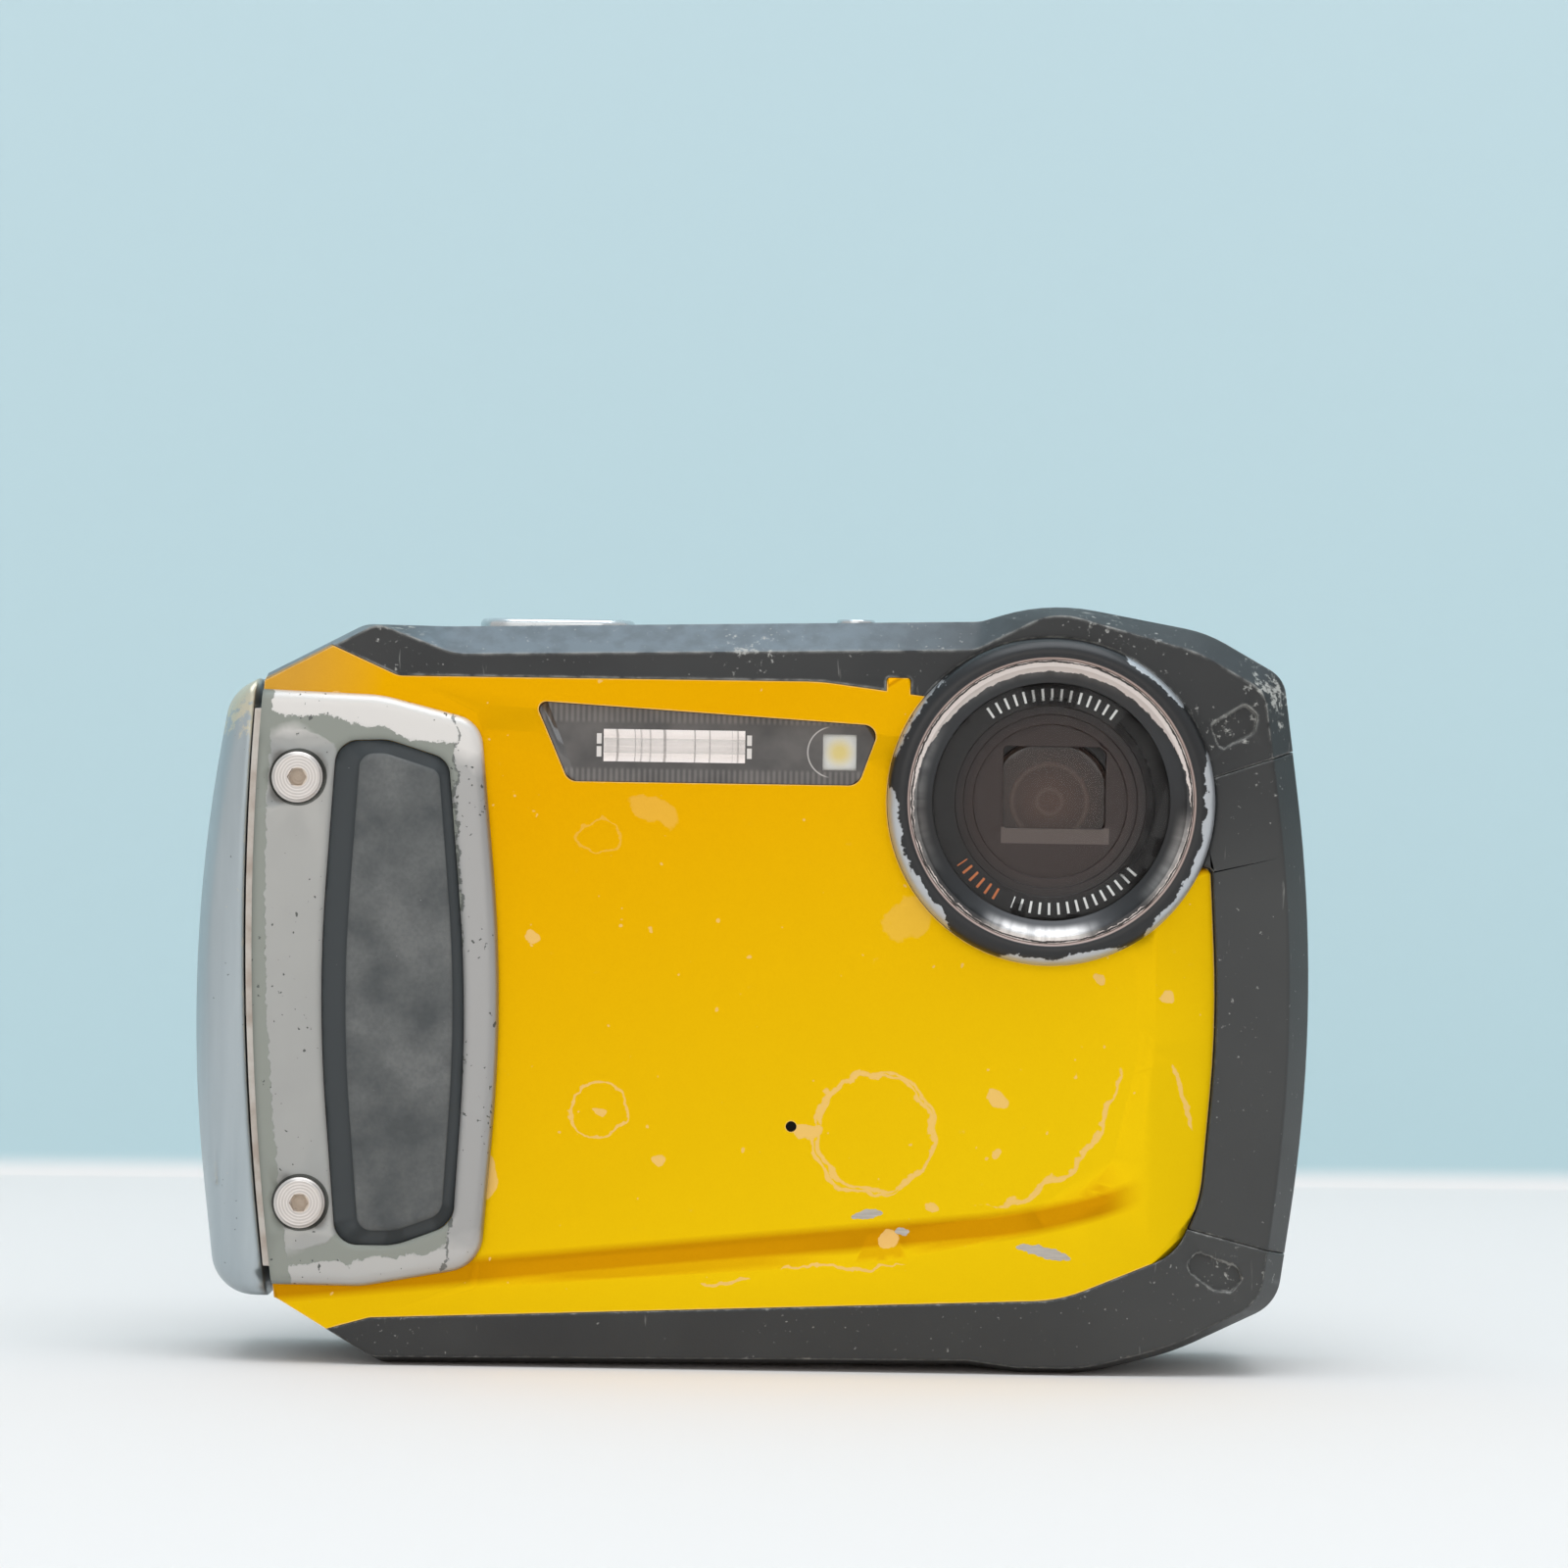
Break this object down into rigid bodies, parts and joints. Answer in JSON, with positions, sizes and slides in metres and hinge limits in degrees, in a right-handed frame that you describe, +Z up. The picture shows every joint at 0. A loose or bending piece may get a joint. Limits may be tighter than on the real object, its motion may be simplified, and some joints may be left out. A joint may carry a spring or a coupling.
{
  "type": "digital camera",
  "caption": "Rugged waterproof compact digital camera with a folded zoom lens behind glass, front flash, hand grip, rear monitor and keys, and a lockable side door.",
  "frame": {"origin": "centre of the bounding box in plan, at the height of the lowest point, where the camera stands", "axes": "+X along the width towards the lens end, +Y from the lens side to the monitor side, +Z up"},
  "size_m": [0.1035, 0.0272, 0.071],
  "materials": {
    "yellow_paint": "satin metallic paint, worn",
    "black_plastic": "satin, scuffed",
    "silver_paint": "satin silver paint, chipped",
    "silver_door": "satin silver",
    "grip_rubber": "worn matt",
    "seal_rubber": "matt",
    "key_rubber": "matt",
    "bright_steel": "brushed",
    "ring_paint": "black, worn to the metal at its edges",
    "bezel_metal": "dark anodised",
    "clear_glass": "coated",
    "smoked_glass": "smoked",
    "baffle_plastic": "matt",
    "mirror_metal": "ribbed mirror",
    "lamp_lens": "diffusing",
    "dial_plastic": "satin",
    "button_metal": "satin",
    "circuit_board": "solder mask",
    "monitor_glass": "gloss",
    "panel_metal": "plain",
    "button_plastic": "satin",
    "steel_sheet": "stamped",
    "battery_wrap": "satin",
    "nylon": "matt",
    "card_plastic": "matt",
    "can_aluminium": "sleeved",
    "brass": "turned",
    "ceramic": "matt"
  },
  "bodies": {
    "case": {"front_panel": "yellow_paint", "front_cover": "black_plastic", "end_trim": "black_plastic", "rear_cover": "black_plastic", "body_seal": "seal_rubber", "grip_plate": "silver_paint", "grip_pad": "grip_rubber", "grip_screws": "bright_steel", "lens_ring": "ring_paint", "lens_bezel": "bezel_metal", "lens_window": "clear_glass", "window_seal": "seal_rubber", "lens_baffle": "baffle_plastic", "flash_window": "smoked_glass", "flash_reflector": "mirror_metal", "flash_tube": "clear_glass", "focus_lamp": "lamp_lens", "door_frame": "black_plastic", "hinge_pin": "bright_steel", "top_board": "circuit_board", "monitor_window": "monitor_glass", "lcd_module": "panel_metal", "key_mat": "key_rubber", "key_board": "circuit_board", "case_screws": "bright_steel", "chassis": "steel_sheet", "main_board": "circuit_board", "battery": "battery_wrap", "battery_case": "nylon", "card_slot": "steel_sheet", "memory_card": "card_plastic", "port_block": "steel_sheet", "flash_capacitor": "can_aluminium", "microphone": "can_aluminium", "gps_antenna": "ceramic", "strap_bar": "bright_steel", "tripod_bush": "brass", "lens_barrel": "nylon", "front_element": "clear_glass", "prism": "clear_glass", "guide_rods": "bright_steel", "zoom_motor": "can_aluminium", "image_sensor": "ceramic"},
    "door": {"side_door": "silver_door", "door_seal": "seal_rubber"},
    "lock_dial": {"lock_dial": "dial_plastic"},
    "lock_bolt": {"lock_bolt": "bright_steel"},
    "shutter_button": {"shutter_button": "button_metal"},
    "power_button": {"power_button": "button_metal"},
    "zoom_rocker": {"zoom_rocker": "button_plastic"},
    "movie_button": {"movie_button": "button_plastic"},
    "play_button": {"play_button": "button_plastic"},
    "back_button": {"back_button": "button_plastic"},
    "nav_plunger": {"nav_plunger": "nylon"},
    "nav_ring": {"nav_ring": "button_plastic"},
    "ok_button": {"ok_button": "button_plastic"},
    "battery_latch": {"battery_latch": "nylon"},
    "zoom_carriage": {"zoom_carriage": "nylon"},
    "focus_carriage": {"focus_carriage": "nylon"},
    "lead_screw": {"lead_screw": "bright_steel"}
  },
  "joints": [
    {"name": "door_hinge", "type": "hinge", "parent": "case", "child": "door", "pos_m": [-0.0482, 0.0102, 0.035], "axis": [0, 0, -1], "range_deg": [0, 105]},
    {"name": "lock_dial_turn", "type": "hinge", "parent": "door", "child": "lock_dial", "pos_m": [-0.0513, 0.0005, 0.026], "axis": [-1, 0, 0], "range_deg": [0, 90]},
    {"name": "lock_bolt_slide", "type": "slide", "parent": "door", "child": "lock_bolt", "axis": [0, 0, 1], "range_m": [0, 0.002]},
    {"name": "shutter_press", "type": "slide", "parent": "case", "child": "shutter_button", "axis": [0, 0, -1], "range_m": [0, 0.0008], "stiffness_N_per_m": 800},
    {"name": "power_press", "type": "slide", "parent": "case", "child": "power_button", "axis": [0, 0, -1], "range_m": [0, 0.0004], "stiffness_N_per_m": 800},
    {"name": "movie_press", "type": "slide", "parent": "case", "child": "movie_button", "axis": [0, -1, 0], "range_m": [0, 0.00035], "stiffness_N_per_m": 800},
    {"name": "play_press", "type": "slide", "parent": "case", "child": "play_button", "axis": [0, -1, 0], "range_m": [0, 0.00035], "stiffness_N_per_m": 800},
    {"name": "back_press", "type": "slide", "parent": "case", "child": "back_button", "axis": [0, -1, 0], "range_m": [0, 0.00035], "stiffness_N_per_m": 800},
    {"name": "zoom_rock", "type": "hinge", "parent": "case", "child": "zoom_rocker", "pos_m": [-0.029, 0.0118, 0.0593], "axis": [0, 0, 1], "range_deg": [-4, 4], "stiffness_Nm_per_rad": 0.05},
    {"name": "nav_tilt_x", "type": "hinge", "parent": "case", "child": "nav_plunger", "pos_m": [-0.0305, 0.00956, 0.0315], "axis": [1, 0, 0], "range_deg": [-2.5, 2.5], "stiffness_Nm_per_rad": 0.05},
    {"name": "nav_tilt_z", "type": "hinge", "parent": "nav_plunger", "child": "nav_ring", "pos_m": [-0.0305, 0.01062, 0.0315], "axis": [0, 0, 1], "range_deg": [-2.5, 2.5], "stiffness_Nm_per_rad": 0.05},
    {"name": "ok_press", "type": "slide", "parent": "nav_ring", "child": "ok_button", "axis": [0, -1, 0], "range_m": [0, 0.0002], "stiffness_N_per_m": 800},
    {"name": "battery_latch_slide", "type": "slide", "parent": "case", "child": "battery_latch", "axis": [0, 1, 0], "range_m": [0, 0.0009], "stiffness_N_per_m": 300},
    {"name": "zoom_slide", "type": "slide", "parent": "case", "child": "zoom_carriage", "axis": [0, 0, -1], "range_m": [0, 0.008]},
    {"name": "focus_slide", "type": "slide", "parent": "case", "child": "focus_carriage", "axis": [0, 0, 1], "range_m": [-0.002, 0.002]},
    {"name": "lead_screw_turn", "type": "hinge", "parent": "case", "child": "lead_screw", "pos_m": [0.0205, 0.0012, 0.02], "axis": [0, 0, 1], "range_deg": [0, 1440]}
  ],
  "couplings": [
    {"joint": "lock_dial_turn", "follows": "lock_bolt_slide", "rad_per_m": 785.4},
    {"joint": "lead_screw_turn", "follows": "zoom_slide", "rad_per_m": 3141.6}
  ]
}
